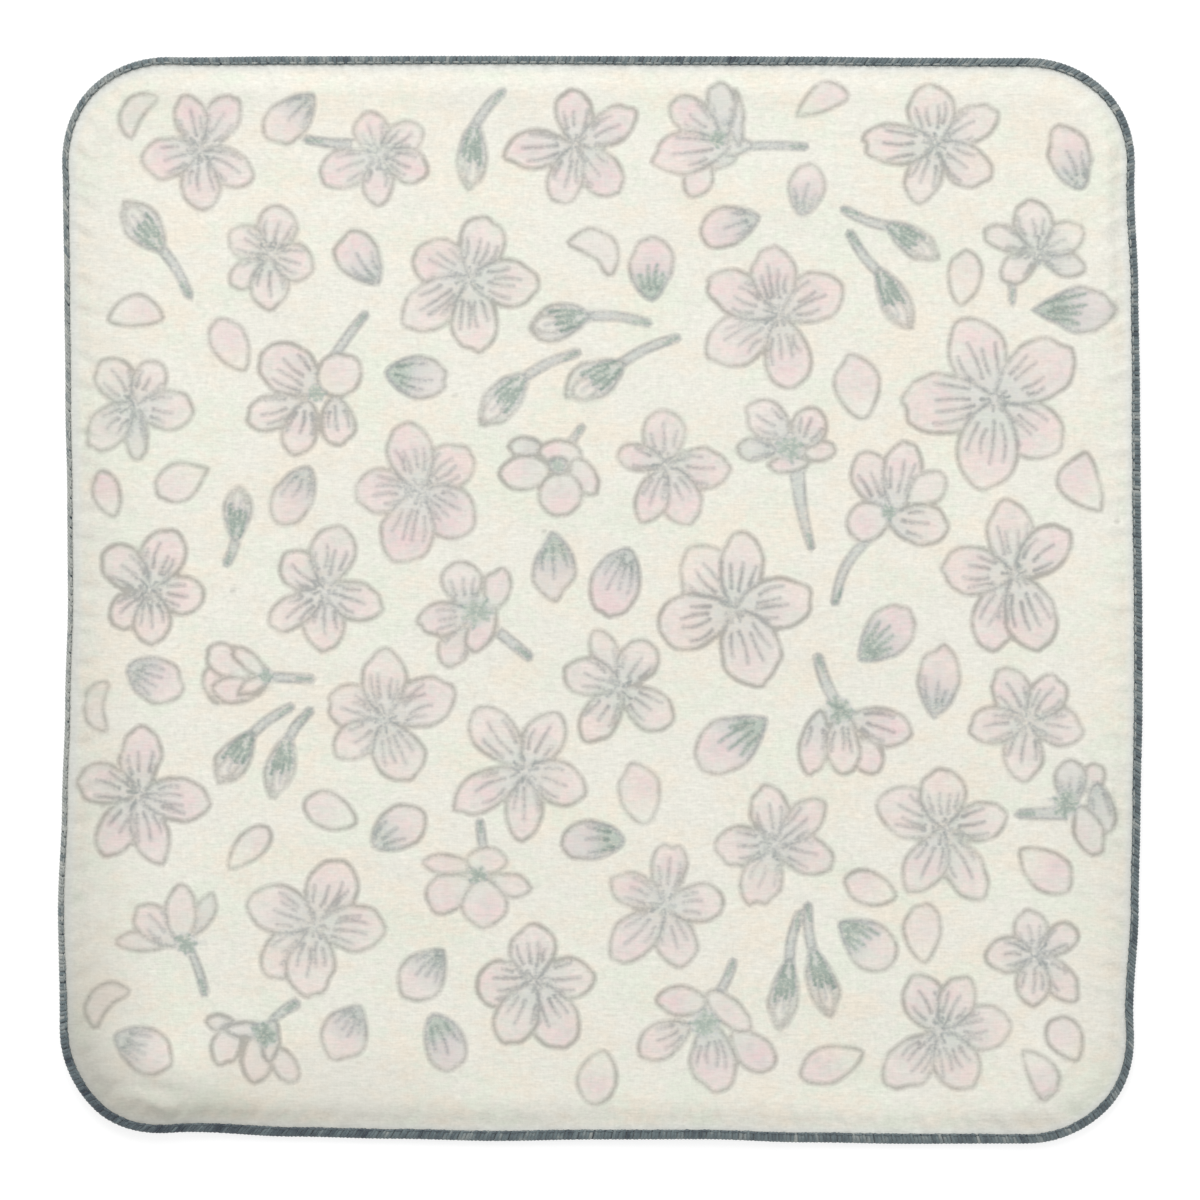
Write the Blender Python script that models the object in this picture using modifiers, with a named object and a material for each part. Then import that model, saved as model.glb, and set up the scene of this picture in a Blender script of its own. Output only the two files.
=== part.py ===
# A square gauze hand towel, laid open and flat. It is one cut of soft layered gauze, and its raw
# edge is wrapped all round in overlock thread. Metres, +Z up. The origin is on the surface that
# the towel lies on, under the middle of the cloth. The top side is the side away from the viewer
# who reads the towel, and the sides follow each other clockwise, seen from above.

import math
from collections import namedtuple

import bpy

MM = 0.001

# The cut: a rounded square, measured to the outside of the edging
HALF_WIDTH = 125.0 * MM
HALF_LENGTH = 125.5 * MM
CORNER_RADIUS = 26.0 * MM

# The cloth, which is thick in the middle and pressed thin between the edging's threads
CLOTH_THICKNESS = 2.2 * MM
PRESSED_THICKNESS = 0.7 * MM
ROLL_HEIGHT = 0.35 * MM
ROLL_INSET = 8.0 * MM
ROLL_SPREAD = 3.0 * MM
THICKEST = 4.0 * MM

# The edging: a channel of thread round the cut edge, as wide as the stitch bites at each station
EDGING_HALF_HEIGHT = 1.15 * MM
EDGING_WALL = 0.8 * MM
GAP = 0.3 * MM
TONGUE_INSET = EDGING_WALL + GAP
SWELL_START = 3.0 * MM
SWELL_END = 7.5 * MM

# How far in from the edge the wander and the lift of the edge are still felt
WANDER_REACH = 40.0 * MM
LIFT_REACH = 30.0 * MM

# Each side runs clockwise from one corner's diagonal to the next, in even steps. All are in
# millimetres: out is how far the outline strays outwards, lift how high the edge stands off the
# surface, and stitch how wide the edging looks from above.
Side = namedtuple("Side", "out lift stitch")
SIDES = (
    Side(
        out=(1.4, 0.6, 0.9, 0.9, 0.9, 0.9, 0.9, 0.8, 0.5, 0.4),
        lift=(0.7, 0.0, 0.5, 0.0, 0.3),
        stitch=(1.9, 2.2, 2.1, 2.3, 2.2),
    ),
    Side(
        out=(0.4, -0.9, 0.1, 0.5, 0.7, 1.0, 1.0, 0.6, 0.2, -1.1),
        lift=(1.1, 0.2, 0.0, 0.8, 0.0),
        stitch=(2.3, 2.0, 2.2, 2.2, 2.1),
    ),
    Side(
        out=(0.6, 0.8, 0.9, 0.5, -0.3, -0.2, 0.2, -0.3, -0.8, -2.0),
        lift=(0.6, 0.0, 0.9, 0.2, 0.0),
        stitch=(2.3, 2.6, 2.5, 2.6, 2.5),
    ),
    Side(
        out=(0.0, 0.4, 0.9, 0.0, -0.7, -1.4, -1.3, -0.8, -0.5, -0.2),
        lift=(2.3, 0.7, 0.0, 1.0, 0.0),
        stitch=(2.4, 1.6, 1.4, 1.5, 1.6),
    ),
)

# Soft swells over the whole cloth, where the layers stand apart: millimetres and degrees
Swell = namedtuple("Swell", "length heading phase height")
SWELLS = (
    Swell(length=92.0, heading=74.0, phase=20.0, height=0.14),
    Swell(length=63.0, heading=12.0, phase=40.0, height=0.13),
    Swell(length=46.0, heading=98.0, phase=130.0, height=0.11),
    Swell(length=34.0, heading=57.0, phase=205.0, height=0.08),
)

# Creases, as soft ridges, or as troughs where the height is below zero: millimetres and degrees
Crease = namedtuple("Crease", "x y heading length width height")
CREASES = (
    Crease(x=-99.0, y=-109.0, heading=-24.0, length=26.0, width=4.5, height=0.9),
    Crease(x=-104.0, y=-101.0, heading=-28.0, length=18.0, width=4.0, height=-0.5),
    Crease(x=116.5, y=86.0, heading=90.0, length=34.0, width=3.5, height=0.5),
    Crease(x=104.0, y=-108.0, heading=38.0, length=20.0, width=4.5, height=0.5),
    Crease(x=-15.0, y=-116.0, heading=1.0, length=48.0, width=3.5, height=0.4),
    Crease(x=-112.0, y=-38.0, heading=84.0, length=26.0, width=4.0, height=0.4),
    Crease(x=34.0, y=96.0, heading=-8.0, length=32.0, width=6.0, height=0.25),
)

# The mesh: cells across the cloth, and how far in from the outline its outer rings lie
CELLS = 40
OUTER_RINGS = (TONGUE_INSET, SWELL_START, 4.6 * MM, SWELL_END, 11.5 * MM, 17.0 * MM)

CLOTH_COLOUR = (0.87, 0.85, 0.74, 1.0)
EDGING_COLOUR = (0.10, 0.14, 0.16, 1.0)


def ease(value):
    """0 below 0 and 1 above 1, with a soft turn at both ends."""
    t = min(max(value, 0.0), 1.0)
    return t * t * (3.0 - 2.0 * t)


def around(column, side, share):
    """A column of SIDES at a share of a side, -1 to 1 from one corner's diagonal to the next."""
    values = [value for row in SIDES for value in getattr(row, column)]
    steps = len(values) // len(SIDES)
    place = (side + (share + 1.0) / 2.0) * steps
    first = math.floor(place)
    before = values[first % len(values)]
    after = values[(first + 1) % len(values)]
    return (before + (after - before) * ease(place - first)) * MM


def outline_point(side, share, inset):
    """A point of the outline drawn in by inset, as x and y."""
    along, out = (HALF_WIDTH, HALF_LENGTH) if side % 2 == 0 else (HALF_LENGTH, HALF_WIDTH)
    radius = max(CORNER_RADIUS - inset, 0.0)
    straight = along - inset - radius
    run = share * (straight + radius * math.pi / 4.0)
    past = max(abs(run) - straight, 0.0)
    turn = math.copysign(past / radius, run) if past and radius else 0.0
    fade = max(1.0 - inset / WANDER_REACH, 0.0)
    reach = radius + around("out", side, share) * fade
    x = min(max(run, -straight), straight) + reach * math.sin(turn)
    y = out - inset - radius + reach * math.cos(turn)
    angle = -side * math.pi / 2.0
    cosine, sine = math.cos(angle), math.sin(angle)
    return x * cosine - y * sine, x * sine + y * cosine


def edge_lift(side, share, inset):
    """How high the underside stands off the surface at a ring."""
    return around("lift", side, share) * (1.0 - ease(inset / LIFT_REACH))


def swell_height(x, y):
    total = 0.0
    for swell in SWELLS:
        heading = math.radians(swell.heading)
        run = (x * math.cos(heading) + y * math.sin(heading)) / (swell.length * MM)
        total += swell.height * MM * math.sin(2.0 * math.pi * run + math.radians(swell.phase))
    return total


def crease_height(x, y):
    total = 0.0
    for crease in CREASES:
        heading = math.radians(crease.heading)
        away_x, away_y = x - crease.x * MM, y - crease.y * MM
        along = (away_x * math.cos(heading) + away_y * math.sin(heading)) / (crease.length * MM)
        across = (away_y * math.cos(heading) - away_x * math.sin(heading)) / (crease.width * MM)
        total += crease.height * MM * math.exp(-(along**2) - across**2)
    return total


def cloth_layers(side, share, inset, x, y):
    """The height of the cloth's middle and its thickness at a point of a ring."""
    roll = ROLL_HEIGHT * math.exp(-(((inset - ROLL_INSET) / ROLL_SPREAD) ** 2))
    full = CLOTH_THICKNESS + roll + swell_height(x, y) + crease_height(x, y)
    swollen = ease((inset - SWELL_START) / (SWELL_END - SWELL_START))
    thickness = PRESSED_THICKNESS + (full - PRESSED_THICKNESS) * swollen
    middle = EDGING_HALF_HEIGHT + (full / 2.0 - EDGING_HALF_HEIGHT) * swollen
    return middle + edge_lift(side, share, inset), thickness


def grid_place(column, row):
    """The ring, side and share of a grid point, counted from the middle of the cloth."""
    ring = max(abs(column), abs(row))
    if ring == 0:
        return 0, 0, 0.0
    if row == ring:
        return ring, 0, column / ring
    if column == ring:
        return ring, 1, -row / ring
    if row == -ring:
        return ring, 2, -column / ring
    return ring, 3, row / ring


def ring_inset(ring):
    """How far in from the outline a ring lies, where ring 0 is the middle of the cloth."""
    from_edge = CELLS // 2 - ring
    last = len(OUTER_RINGS) - 1
    if from_edge <= last:
        return OUTER_RINGS[from_edge]
    step = (HALF_WIDTH - OUTER_RINGS[-1]) / (CELLS // 2 - last)
    return OUTER_RINGS[-1] + step * (from_edge - last)


def cloth_material(name, colour, roughness):
    material = bpy.data.materials.new(name)
    material.use_nodes = True
    shader = material.node_tree.nodes["Principled BSDF"]
    shader.inputs["Base Color"].default_value = colour
    shader.inputs["Roughness"].default_value = roughness
    shader.inputs["Metallic"].default_value = 0.0
    return material


def finish(piece, name, material, collection):
    """Names a new piece, gives it its material and puts it in the towel's collection."""
    piece.name = name
    piece.data.name = name
    piece.data.materials.append(material)
    piece.data.shade_smooth()
    piece.data.set_sharp_from_angle(angle=math.radians(50.0))
    for other in list(piece.users_collection):
        other.objects.unlink(piece)
    collection.objects.link(piece)


def build_cloth(collection):
    """The gauze: a grid in rings that follow the outline, thickened about its middle."""
    bpy.ops.mesh.primitive_grid_add(x_subdivisions=CELLS, y_subdivisions=CELLS, size=CELLS)
    cloth = bpy.context.object
    weights = cloth.vertex_groups.new(name="thickness")
    for vertex in cloth.data.vertices:
        ring, side, share = grid_place(round(vertex.co.x), round(vertex.co.y))
        inset = ring_inset(ring)
        x, y = outline_point(side, share, inset) if ring else (0.0, 0.0)
        middle, thickness = cloth_layers(side, share, inset, x, y)
        vertex.co = (x, y, middle)
        weights.add([vertex.index], thickness / THICKEST, "REPLACE")
    layers = cloth.modifiers.new("layers", "SOLIDIFY")
    layers.thickness = THICKEST
    layers.offset = 0.0
    layers.vertex_group = weights.name
    finish(cloth, "cloth", cloth_material("gauze", CLOTH_COLOUR, 0.95), collection)


def edging_section(width):
    """The thread channel across the edge: how far in, and how high, from its outer face round."""
    slot = PRESSED_THICKNESS / 2.0 + GAP
    top = EDGING_HALF_HEIGHT
    return (
        (0.00 * MM, 0.45 * MM),
        (0.30 * MM, 0.92 * MM),
        (EDGING_WALL, top),
        (width - 0.45 * MM, top),
        (width, 0.92 * MM),
        (width, slot),
        (EDGING_WALL, slot),
        (EDGING_WALL, -slot),
        (width, -slot),
        (width, -0.98 * MM),
        (width - 0.40 * MM, -top),
        (0.62 * MM, -top),
        (0.22 * MM, -0.88 * MM),
        (0.00 * MM, -0.40 * MM),
    )


def build_edging(collection):
    """The overlocked edge: a ring whose section is the channel, set at the cloth's own stations."""
    around_count = 4 * CELLS
    section_count = len(edging_section(0.0))
    bpy.ops.mesh.primitive_torus_add(major_segments=around_count, minor_segments=section_count)
    edging = bpy.context.object
    for vertex in edging.data.vertices:
        step, corner = divmod(vertex.index, section_count)
        side, place = divmod(-step % around_count, CELLS)
        share = 2.0 * place / CELLS - 1.0
        inset, height = edging_section(around("stitch", side, share))[corner]
        x, y = outline_point(side, share, inset)
        middle = EDGING_HALF_HEIGHT + edge_lift(side, share, inset)
        vertex.co = (x, y, middle + height)
    finish(edging, "edging", cloth_material("overlock thread", EDGING_COLOUR, 0.75), collection)


def main():
    for thing in list(bpy.data.objects):
        bpy.data.objects.remove(thing, do_unlink=True)
    towel = bpy.data.collections.new("hand towel")
    bpy.context.scene.collection.children.link(towel)
    build_cloth(towel)
    build_edging(towel)


main()
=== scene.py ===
import math
import random

import bpy
import numpy as np
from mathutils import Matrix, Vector
from mathutils.geometry import delaunay_2d_cdt


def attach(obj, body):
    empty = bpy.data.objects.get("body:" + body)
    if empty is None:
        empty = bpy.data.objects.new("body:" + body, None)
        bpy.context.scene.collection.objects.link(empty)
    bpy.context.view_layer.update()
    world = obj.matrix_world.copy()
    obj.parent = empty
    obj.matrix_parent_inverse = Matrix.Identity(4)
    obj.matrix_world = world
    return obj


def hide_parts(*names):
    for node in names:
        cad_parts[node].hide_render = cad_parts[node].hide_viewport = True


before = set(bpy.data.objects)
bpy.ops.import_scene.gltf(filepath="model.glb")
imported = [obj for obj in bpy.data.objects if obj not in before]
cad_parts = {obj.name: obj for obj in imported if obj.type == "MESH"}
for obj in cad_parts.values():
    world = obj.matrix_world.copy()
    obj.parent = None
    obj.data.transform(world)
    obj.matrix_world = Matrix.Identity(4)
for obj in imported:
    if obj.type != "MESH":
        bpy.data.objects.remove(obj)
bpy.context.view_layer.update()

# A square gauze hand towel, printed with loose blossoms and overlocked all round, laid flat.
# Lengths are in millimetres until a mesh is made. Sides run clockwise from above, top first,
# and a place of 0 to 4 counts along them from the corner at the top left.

mm = 0.001

cut = {
    "halfWidth": 125.0,
    "halfLength": 125.5,
    "cornerRadius": 26.0,
    "sideRun": 239.0,  # the length of one side along the edge
    "wanderReach": 40.0,  # how far in the wander of the edge is still felt
    "liftReach": 30.0,
    # how far in the painted shade beside the edge reaches, and how it fades
    "greyReach": 30.0,
    "greyPower": 1.6,
    "sides": (  # out and lift of the edge, stitch width, tones of its threads, and the painted shade on the cloth beside it
        {
            "out": (1.4, 0.6, 0.9, 0.9, 0.9, 0.9, 0.9, 0.8, 0.5, 0.4),
            "lift": (0.7, 0.0, 0.5, 0.0, 0.3),
            "stitch": (1.9, 2.2, 2.1, 2.3, 2.2),
            "tone": (0.70, 0.56, 0.60, 0.52, 0.58),
            "needle": (0.80, 0.85, 0.90, 0.80, 0.80),
            "grey": (0.10, 0.00, 0.00, 0.00, 0.00),
        },
        {
            "out": (0.4, -0.9, 0.1, 0.5, 0.7, 1.0, 1.0, 0.6, 0.2, -1.1),
            "lift": (1.1, 0.2, 0.0, 0.8, 0.0),
            "stitch": (2.3, 2.0, 2.2, 2.2, 2.1),
            "tone": (0.56, 0.52, 0.56, 0.48, 0.52),
            "needle": (0.80, 0.85, 0.85, 0.80, 0.70),
            "grey": (0.00, 0.00, 0.00, 0.02, 0.14),
        },
        {
            "out": (0.6, 0.8, 0.9, 0.5, -0.3, -0.2, 0.2, -0.3, -0.8, -2.0),
            "lift": (0.6, 0.0, 0.9, 0.2, 0.0),
            "stitch": (2.3, 2.6, 2.5, 2.6, 2.5),
            "tone": (0.54, 0.56, 0.52, 0.52, 0.30),
            "needle": (0.35, 0.30, 0.28, 0.25, 0.15),
            "grey": (0.14, 0.02, 0.09, 0.14, 0.38),
        },
        {
            "out": (0.0, 0.4, 0.9, 0.0, -0.7, -1.4, -1.3, -0.8, -0.5, -0.2),
            "lift": (2.3, 0.7, 0.0, 1.0, 0.0),
            "stitch": (2.4, 1.6, 1.4, 1.5, 1.6),
            "tone": (0.22, 0.95, 1.20, 1.12, 0.95),
            "needle": (0.20, 0.95, 1.15, 1.10, 0.90),
            "grey": (0.76, 0.33, 0.22, 0.17, 0.13),
        },
    ),
}

gauze = {
    "thickness": 2.2,
    "pressed": 0.7,  # between the edging's threads
    "rollHeight": 0.35,
    "rollInset": 8.0,
    "rollSpread": 3.0,
    "tongueInset": 1.1,
    "swellStart": 3.0,
    "swellEnd": 7.5,
    "swells": (  # length, heading, phase, height
        (92.0, 74.0, 20.0, 0.14),
        (63.0, 12.0, 40.0, 0.13),
        (46.0, 98.0, 130.0, 0.11),
        (34.0, 57.0, 205.0, 0.08),
    ),
    "creases": (  # x, y, heading, length, width, height
        (-99.0, -109.0, -24.0, 26.0, 4.5, 0.9),
        (-104.0, -101.0, -28.0, 18.0, 4.0, -0.5),
        (116.5, 86.0, 90.0, 34.0, 3.5, 0.5),
        (104.0, -108.0, 38.0, 20.0, 4.5, 0.5),
        (-15.0, -116.0, 1.0, 48.0, 3.5, 0.4),
        (-112.0, -38.0, 84.0, 26.0, 4.0, 0.4),
        (34.0, 96.0, -8.0, 32.0, 6.0, 0.25),
    ),
    "puckerHeight": 0.16,
    "puckerPitch": (3.7, 6.1, 9.3),  # along the edge
    "puckerDrift": 23.0,
    "puckerStart": 2.2,
    "puckerRise": 1.6,
    "puckerFade": 4.2,
    "puckerReach": 6.5,
    "folds": (  # small sharp folds of the front: x, y, heading, length, width, height
        (-107.0, -113.0, -6.0, 9.0, 1.5, -0.6),
        (-100.0, -118.0, -30.0, 10.0, 1.4, 0.8),
        (104.0, -112.5, 40.0, 9.0, 1.3, 0.4),
        (117.5, 86.0, 90.0, 20.0, 1.5, 0.35),
        (-114.0, -38.0, 86.0, 14.0, 1.5, 0.35),
        (-116.0, -74.0, 80.0, 10.0, 1.5, 0.3),
    ),
    "crinkles": ((13.0, 0.05), (7.5, 0.035), (5.2, 0.02)),  # length and height
    "crinkleStart": 3.0,
    "crinkleRise": 4.0,
}

net = {  # the points that the sheet is made from
    "cell": 1.3,
    "rimStep": 1.2,
    "rings": (1.8, 3.0, 4.2, 5.5, 7.0),
    "ringApart": 0.5,
    "foldStep": 1.1,
    "foldRows": (-1.7, -1.1, -0.7, -0.35, 0.0, 0.35, 0.7, 1.1, 1.7),  # in widths of the fold
    "foldEnds": 1.3,  # in lengths of the fold
    "foldApart": 0.4,
    "foldLimit": 118.0,
    "ridgeApart": 0.25,
    "railApart": 0.42,
    "gridStep": 2.1,
    "gridShake": 0.3,  # in steps
    "gridInset": 7.6,
    "gridApart": 1.15,
    "gridSeed": 5,
    "backStep": 6.0,
    "backRings": (2.2, 3.8, 5.6, 7.6),
    "backInset": 10.0,
    "mapSpan": 260.0,
    "mapEdge": 1.013,  # sets the edge's outer row apart from the front on the map
}

edging = {
    "halfHeight": 1.15,
    "wraps": 1120,
    "slimmer": 0.15,  # the wraps stop this far short of the stitch's full width
    "threadWidth": 0.98,
    "threadDepth": 0.34,
    "lean": 0.7,
    "wrapSeed": 3,
    "wrapShift": 0.16,  # in wraps
    "toneShake": 0.16,
    "toneDrift": (  # weight, cycles round the towel, phase
        (0.10, 61, 0.4), (0.08, 137, 2.1), (0.07, 223, 4.0), (0.05, 331, 1.0),
    ),
    "mapRows": 8,
    "coreSink": 0.28,
    "coreStations": 480,
    "needlePitch": 2.25,
    "needleLength": 1.75,
    "needleWidth": 0.5,
    "needleDepth": 0.16,
    "needleInset": 0.26,  # how far the needle line lies outside the wraps' inner ends
    "needleSteps": 5,
    "needleSeed": 8,
    "needleShift": 0.06,
    "needleToneShake": 0.12,
}
tubeCorners = ((1.0, 0.0), (0.0, 1.0), (-1.0, 0.0), (0.0, -1.0))  # along the edge, and outwards


def ease(value):
    t = np.clip(value, 0.0, 1.0)
    return t * t * (3.0 - 2.0 * t)


def along(column, place):
    # a column of the cut's sides, read at places along the edge
    values = np.array([value for side in cut["sides"] for value in side[column]])
    spot = np.asarray(place) * (len(values) // 4)
    first = np.floor(spot).astype(int)
    before, after = values[first % len(values)], values[(first + 1) % len(values)]
    return before + (after - before) * ease(spot - first)


def edgePoint(place, inset):
    # the outline drawn in by inset
    place, inset = np.broadcast_arrays(np.asarray(place, float), np.asarray(inset, float))
    side = np.floor(place).astype(int) % 4
    share = 2.0 * (place - np.floor(place)) - 1.0
    upright = side % 2 == 0
    reachAlong = np.where(upright, cut["halfWidth"], cut["halfLength"])
    reachOut = np.where(upright, cut["halfLength"], cut["halfWidth"])
    radius = np.maximum(cut["cornerRadius"] - inset, 0.0)
    straight = reachAlong - inset - radius
    run = share * (straight + radius * math.pi / 4.0)
    past = np.maximum(np.abs(run) - straight, 0.0)
    turn = np.sign(run) * past / np.maximum(radius, 1e-6)
    fade = np.maximum(1.0 - inset / cut["wanderReach"], 0.0)
    reach = radius + along("out", place) * fade
    x = np.clip(run, -straight, straight) + reach * np.sin(turn)
    y = reachOut - inset - radius + reach * np.cos(turn)
    angle = -side * math.pi / 2.0
    return x * np.cos(angle) - y * np.sin(angle), x * np.sin(angle) + y * np.cos(angle)


def placeOf(x, y):
    # the place and inset of points, which turns edgePoint round
    radius0 = cut["cornerRadius"]
    qx = np.abs(x) - (cut["halfWidth"] - radius0)
    qy = np.abs(y) - (cut["halfLength"] - radius0)
    upright = qy >= qx
    corner = (qx > 0.0) & (qy > 0.0)
    inset = radius0 - np.where(corner, np.hypot(qx, qy), np.maximum(qx, qy))
    side = np.where(upright, np.where(y >= 0.0, 0, 2), np.where(x >= 0.0, 1, 3))
    local = np.choose(side, (x, -y, -x, y))
    reachAlong = np.where(upright, cut["halfWidth"], cut["halfLength"])
    turn = np.arctan2(np.where(upright, qx, qy), np.where(upright, qy, qx))
    place = side.astype(float)
    for _ in range(2):
        radius = np.maximum(radius0 - inset, 0.0)
        straight = reachAlong - inset - radius
        run = np.where(corner, straight + radius * turn, np.abs(local)) * np.sign(local)
        share = run / (straight + radius * math.pi / 4.0)
        place = side + (np.clip(share, -1.0, 0.99999) + 1.0) / 2.0
        out = along("out", place)
        flat = radius0 - np.where(corner, np.hypot(qx, qy), np.maximum(qx, qy))
        inset = np.where(flat < cut["wanderReach"], (flat + out) / (1.0 + out / cut["wanderReach"]), flat)
    return place, inset


def alongFold(x, y, cx, cy, degrees):
    # how far points lie along a fold, and off it
    cosine, sine = math.cos(math.radians(degrees)), math.sin(math.radians(degrees))
    return (x - cx) * cosine + (y - cy) * sine, (y - cy) * cosine - (x - cx) * sine


def edgeLift(place, inset):
    return along("lift", place) * (1.0 - ease(inset / cut["liftReach"]))


def clothLayers(x, y, place, inset):
    # the height of the cloth's middle, and its thickness
    full = gauze["thickness"] + gauze["rollHeight"] * np.exp(
        -(((inset - gauze["rollInset"]) / gauze["rollSpread"]) ** 2)
    )
    for length, degrees, phase, height in gauze["swells"]:
        run, _ = alongFold(x, y, 0.0, 0.0, degrees)
        full = full + height * np.sin(2.0 * math.pi * (run / length) + math.radians(phase))
    for cx, cy, degrees, length, width, height in gauze["creases"]:
        run, off = alongFold(x, y, cx, cy, degrees)
        full = full + height * np.exp(-((run / length) ** 2) - (off / width) ** 2)
    swollen = ease((inset - gauze["swellStart"]) / (gauze["swellEnd"] - gauze["swellStart"]))
    thickness = gauze["pressed"] + (full - gauze["pressed"]) * swollen
    middle = edging["halfHeight"] + (full / 2.0 - edging["halfHeight"]) * swollen
    return middle + edgeLift(place, inset), thickness


def crinkle(x, y):
    # the loose weave never lies quite flat
    height = np.zeros(len(x))
    for index, (length, rise) in enumerate(gauze["crinkles"]):
        bend = 3.0 * np.sin(x / 17.0 + index) + 2.5 * np.sin(y / 13.0 + 2.0 * index)
        height += rise * np.sin(2.0 * math.pi * (y + 0.35 * x + bend) / length + index)
        height += rise * np.sin(2.0 * math.pi * (x - 0.2 * y + bend * 1.3) / (length * 1.3) + 2.0 * index)
    return height


def foldRise(x, y):
    height = np.zeros(len(x))
    for cx, cy, degrees, length, width, rise in gauze["folds"]:
        run, off = alongFold(x, y, cx, cy, degrees)
        height += rise * np.exp(-((run / length) ** 4) - (off / width) ** 2)
    return height


def puckers(place, inset):
    # small gathers that the stitching pulls into the cloth beside it
    run = place * cut["sideRun"]
    drift = 0.6 * np.sin(run / gauze["puckerDrift"])
    wave = sum(
        np.sin(2.0 * math.pi * run / pitch + 1.7 * index + drift)
        for index, pitch in enumerate(gauze["puckerPitch"])
    )
    rise = ease((inset - gauze["puckerStart"]) / gauze["puckerRise"])
    fade = 1.0 - ease((inset - gauze["puckerFade"]) / gauze["puckerReach"])
    return gauze["puckerHeight"] * wave * (rise * fade)


# The print is drawn on a square board of 1200 units a side, with y down.
board = {
    "size": 1200.0,
    "unit": 0.232,
    "outlineHalf": 1.02,  # half the foot of a pencil line, in mm
    "veinHalf": 0.85,
    "stemHalf": 0.8,
    "stamenSlim": 0.85,  # of a vein
    "railStep": 0.95,
    "soak": 1.6,  # no shape tints the cloth further off than this
    "hideDepth": 0.7,  # a line this deep under a later petal is gone
    "hiders": 60,  # how many later shapes are looked through
    "margin": 3.0,  # no line of the print comes nearer to the edge
    "seed": 11,
}

petal = {
    "widest": 0.58,  # past this share of its length a petal closes to its tip
    "tip": {"p": 0.86, "s": 0.42, "": 0.58},  # the higher, the more pointed
    "foot": {"k": 0.7, "r": 0.4, "": 0.5},
    "belly": {"r": (1.0, 1.12), "": (1.1, 1.45)},
    "step": 1.1,
    "notch": 0.11,
    "dip": (-0.035, 0.06),
    "sway": 0.06,
    "wobble": 0.02,
    "waves": (2, 3, 5, 7, 9),
    "veinGap": 2.8,
    "heart": 0.4,  # how far the wash at a petal's foot goes
    "plainHeart": 0.2,
}

stalk = {
    "step": 1.3,
    "sage": 0.66,
    "end": 3.2,  # the dark stroke at the cut end
    "line": 0.7,
    "budWidth": 2.0,
    "budFarWidth": 1.7,
}

blossom = {
    "gap": 0.5,  # petals start this far from the middle
    "heartSize": 1.5,
    "heartWash": 0.42,
    "stamens": 9,
    "sideHeart": 0.42,
    "hatches": 7,  # short lines on a calyx
    "hatchTurn": 51.0,
}

# x, y, then each petal: heading in degrees, length, width, and a letter for its tip or tint:
# s square, n notched, p pointed, r round at the base, g green, w plain without veins
blossoms = (
    (200, 150, (105, 55, 32), (55, 65, 35), (-30, 60, 35), (-90, 60, 38), (195, 60, 40)),
    (380, 155, (110, 45, 34), (35, 50, 32), (-20, 50, 34), (-95, 50, 30), (200, 65, 38)),
    (270, 255, (75, 50, 40), (-15, 45, 38), (-90, 55, 37), (220, 50, 26), (150, 45, 33)),
    (575, 145, (90, 55, 37), (25, 70, 35, "p"), (-50, 65, 40), (-105, 60, 34, "s"), (185, 70, 38)),
    (470, 279, (70, 65, 45), (-5, 70, 46), (-85, 75, 45), (215, 80, 46), (150, 60, 48)),
    (779, 315, (97, 68, 44), (28, 68, 50), (-78, 75, 46), (212, 82, 50), (153, 78, 44)),
    (935, 145, (95, 60, 47), (30, 70, 35), (-35, 65, 40), (-110, 60, 35), (180, 75, 40)),
    (995, 400, (110, 85, 58), (35, 90, 60), (-40, 80, 55), (-100, 90, 60), (185, 95, 60)),
    (135, 405, (125, 55, 38), (60, 50, 33), (-10, 60, 40), (-85, 55, 22, "g"), (220, 60, 38)),
    (420, 490, (105, 70, 45), (40, 65, 44), (-35, 65, 50), (-105, 75, 52), (180, 65, 44)),
    (665, 465, (90, 55, 42), (-5, 65, 40), (-65, 65, 40), (-110, 60, 32), (165, 50, 26)),
    (735, 610, (130, 75, 55), (80, 80, 42), (10, 80, 50), (-70, 80, 60), (195, 80, 55)),
    (1015, 575, (95, 75, 46), (40, 70, 42), (-70, 80, 50), (-115, 80, 48), (175, 75, 47)),
    (150, 590, (70, 65, 44), (-10, 55, 38), (-85, 55, 37), (220, 50, 32), (140, 60, 40)),
    (325, 590, (80, 65, 45), (-20, 60, 38), (-90, 60, 40), (215, 65, 32), (140, 55, 37)),
    (385, 720, (90, 70, 44), (25, 75, 48), (-70, 65, 50), (215, 60, 35), (160, 60, 44)),
    (525, 770, (130, 80, 42), (60, 65, 40), (-20, 65, 42), (-90, 70, 36), (205, 80, 38)),
    (140, 795, (160, 65, 40), (90, 70, 40), (-5, 70, 43), (-75, 70, 36), (240, 70, 38)),
    (315, 925, (65, 70, 50), (-5, 70, 46), (-95, 70, 48), (225, 70, 44), (155, 70, 48)),
    (535, 980, (95, 55, 46), (5, 60, 40), (-65, 75, 48), (-115, 70, 42), (185, 60, 46)),
    (665, 905, (85, 65, 35, "n"), (5, 60, 38), (-75, 65, 40), (225, 75, 40), (155, 60, 33)),
    (775, 845, (100, 60, 38), (40, 65, 33), (-15, 60, 38), (-110, 65, 40), (180, 60, 38)),
    (943, 829, (90, 60, 46), (10, 65, 38), (-60, 80, 38), (-115, 70, 40), (155, 70, 50)),
    (1028, 720, (120, 57, 37), (50, 55, 36, "n"), (-10, 55, 38), (-100, 60, 40), (190, 60, 37)),
    (940, 1030, (120, 60, 42), (60, 60, 36), (5, 70, 45), (-65, 65, 45), (230, 75, 44)),
    (1035, 955, (100, 45, 33), (35, 50, 28), (-45, 60, 30), (-95, 50, 34), (180, 50, 35)),
    (620, 688, (113, 63, 28), (56, 54, 38, "s"), (-37, 62, 40), (235, 64, 36), (159, 58, 38)),
    (1037, 252, (98, 52, 38), (25, 50, 32), (-25, 50, 24, "g"), (218, 44, 28), (156, 58, 24)),
)

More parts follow.
